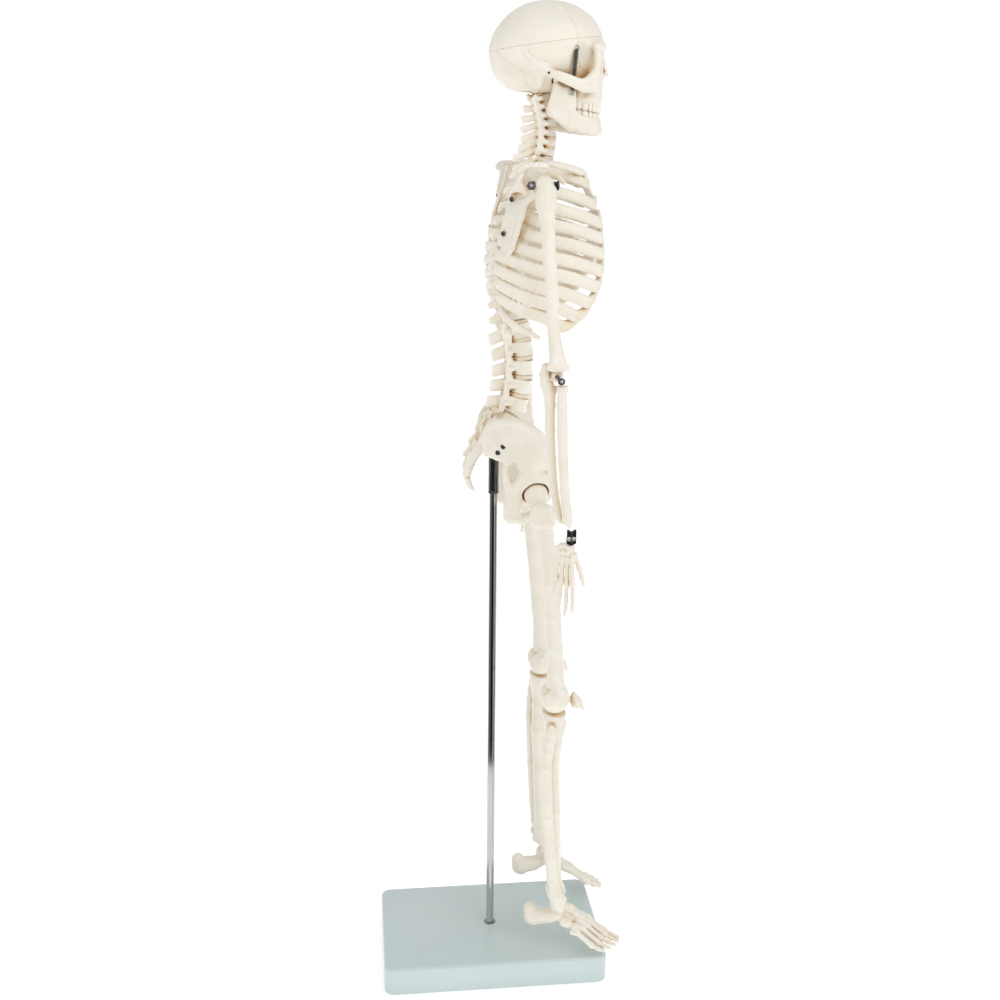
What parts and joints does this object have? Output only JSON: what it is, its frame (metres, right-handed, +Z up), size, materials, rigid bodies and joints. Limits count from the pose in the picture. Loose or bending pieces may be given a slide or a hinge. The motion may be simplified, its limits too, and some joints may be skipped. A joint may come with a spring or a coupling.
{
  "type": "human skeleton teaching model",
  "caption": "Small ivory plastic skeleton on a chrome rod and flat base, with lifting skull cap, sprung jaw and hinged limbs.",
  "frame": {"origin": "middle of the base's underside, on the rod's axis", "axes": "+Z up along the rod, the skeleton faces -Y, its right side is -X"},
  "size_m": [0.2236, 0.2178, 0.85],
  "materials": {
    "bone": "satin ivory moulded plastic",
    "cartilage": "satin",
    "base": "glossy pale blue-grey",
    "steel": "dark polished steel",
    "rod": "polished",
    "spring": "coiled wire"
  },
  "bodies": {
    "stand": {"base": "base", "rod": "rod"},
    "torso": {"rod_sleeve": "steel", "neck_pin": "steel", "cervical_spine": "bone", "thoracic_spine": "bone", "lumbar_spine": "bone", "sacrum": "bone", "coccyx": "bone", "pubic_disc": "cartilage", "rib_cage": "bone", "rib_11_right": "bone", "rib_11_left": "bone", "rib_12_right": "bone", "rib_12_left": "bone", "scapula_right": "bone", "scapula_left": "bone", "clavicle_right": "bone", "clavicle_left": "bone", "hip_bone_right": "bone", "hip_bone_left": "bone"},
    "skull": {"cranium": "bone", "jaw_spring_right": "spring", "jaw_spring_left": "spring"},
    "calvarium": {"calvarium": "bone"},
    "jaw": {"mandible": "bone"},
    "shoulder_fork_right": {"shoulder_fork_right": "steel"},
    "upper_arm_right": {"humerus_right": "bone", "elbow_pin_right": "steel"},
    "forearm_right": {"ulna_right": "bone", "radius_right": "bone", "wrist_link_right": "steel"},
    "hand_right": {"hand_right": "bone"},
    "hip_bolt_right": {"hip_bolt_right": "steel"},
    "thigh_right": {"femur_right": "bone", "patella_right": "bone"},
    "shank_right": {"tibia_right": "bone", "fibula_right": "bone"},
    "foot_right": {"foot_right": "bone"},
    "shoulder_fork_left": {"shoulder_fork_left": "steel"},
    "upper_arm_left": {"humerus_left": "bone", "elbow_pin_left": "steel"},
    "forearm_left": {"ulna_left": "bone", "radius_left": "bone", "wrist_link_left": "steel"},
    "hand_left": {"hand_left": "bone"},
    "hip_bolt_left": {"hip_bolt_left": "steel"},
    "thigh_left": {"femur_left": "bone", "patella_left": "bone"},
    "shank_left": {"tibia_left": "bone", "fibula_left": "bone"},
    "foot_left": {"foot_left": "bone"}
  },
  "joints": [
    {"name": "stand_swivel", "type": "hinge", "parent": "stand", "child": "torso", "pos_m": [0, 0, 0.47], "axis": [0, 0, 1], "continuous": true},
    {"name": "neck_turn", "type": "hinge", "parent": "torso", "child": "skull", "pos_m": [0, -0.038, 0.784], "axis": [0, 0, 1], "range_deg": [-60, 60]},
    {"name": "cap_lift", "type": "slide", "parent": "skull", "child": "calvarium", "axis": [0, 0, 1], "range_m": [0, 0.05]},
    {"name": "jaw_open", "type": "hinge", "parent": "skull", "child": "jaw", "pos_m": [0, -0.043, 0.792], "axis": [1, 0, 0], "range_deg": [0, 20], "stiffness_Nm_per_rad": 0.02, "deforming": ["jaw_spring_right", "jaw_spring_left"]},
    {"name": "shoulder_flex_right", "type": "hinge", "parent": "torso", "child": "shoulder_fork_right", "pos_m": [-0.084, -0.027, 0.712], "axis": [-1, 0, 0], "range_deg": [-40, 115]},
    {"name": "shoulder_spread_right", "type": "hinge", "parent": "shoulder_fork_right", "child": "upper_arm_right", "pos_m": [-0.084, -0.027, 0.712], "axis": [0, 1, 0], "range_deg": [0, 70]},
    {"name": "elbow_right", "type": "hinge", "parent": "upper_arm_right", "child": "forearm_right", "pos_m": [-0.095, -0.0375, 0.57], "axis": [-1, 0, 0], "range_deg": [0, 125]},
    {"name": "wrist_right", "type": "hinge", "parent": "forearm_right", "child": "hand_right", "pos_m": [-0.101, -0.05, 0.439], "axis": [-1, 0, 0], "range_deg": [-35, 50]},
    {"name": "hip_spread_right", "type": "hinge", "parent": "torso", "child": "hip_bolt_right", "pos_m": [-0.042, -0.031, 0.461], "axis": [0, 1, 0], "range_deg": [0, 20]},
    {"name": "hip_flex_right", "type": "hinge", "parent": "hip_bolt_right", "child": "thigh_right", "pos_m": [-0.042, -0.031, 0.461], "axis": [-1, 0, 0], "range_deg": [-20, 90]},
    {"name": "knee_right", "type": "hinge", "parent": "thigh_right", "child": "shank_right", "pos_m": [-0.042, -0.05, 0.2765], "axis": [1, 0, 0], "range_deg": [0, 110]},
    {"name": "ankle_right", "type": "hinge", "parent": "shank_right", "child": "foot_right", "pos_m": [-0.044, -0.057, 0.072], "axis": [-1, 0, 0], "range_deg": [-4, 25]},
    {"name": "shoulder_flex_left", "type": "hinge", "parent": "torso", "child": "shoulder_fork_left", "pos_m": [0.084, -0.027, 0.712], "axis": [-1, 0, 0], "range_deg": [-40, 115]},
    {"name": "shoulder_spread_left", "type": "hinge", "parent": "shoulder_fork_left", "child": "upper_arm_left", "pos_m": [0.084, -0.027, 0.712], "axis": [0, -1, 0], "range_deg": [0, 70]},
    {"name": "elbow_left", "type": "hinge", "parent": "upper_arm_left", "child": "forearm_left", "pos_m": [0.095, -0.0375, 0.57], "axis": [-1, 0, 0], "range_deg": [0, 125]},
    {"name": "wrist_left", "type": "hinge", "parent": "forearm_left", "child": "hand_left", "pos_m": [0.101, -0.05, 0.439], "axis": [-1, 0, 0], "range_deg": [-35, 50]},
    {"name": "hip_spread_left", "type": "hinge", "parent": "torso", "child": "hip_bolt_left", "pos_m": [0.042, -0.031, 0.461], "axis": [0, -1, 0], "range_deg": [0, 20]},
    {"name": "hip_flex_left", "type": "hinge", "parent": "hip_bolt_left", "child": "thigh_left", "pos_m": [0.042, -0.031, 0.461], "axis": [-1, 0, 0], "range_deg": [-20, 90]},
    {"name": "knee_left", "type": "hinge", "parent": "thigh_left", "child": "shank_left", "pos_m": [0.042, -0.05, 0.2765], "axis": [1, 0, 0], "range_deg": [0, 110]},
    {"name": "ankle_left", "type": "hinge", "parent": "shank_left", "child": "foot_left", "pos_m": [0.044, -0.057, 0.072], "axis": [-1, 0, 0], "range_deg": [-4, 25]}
  ]
}
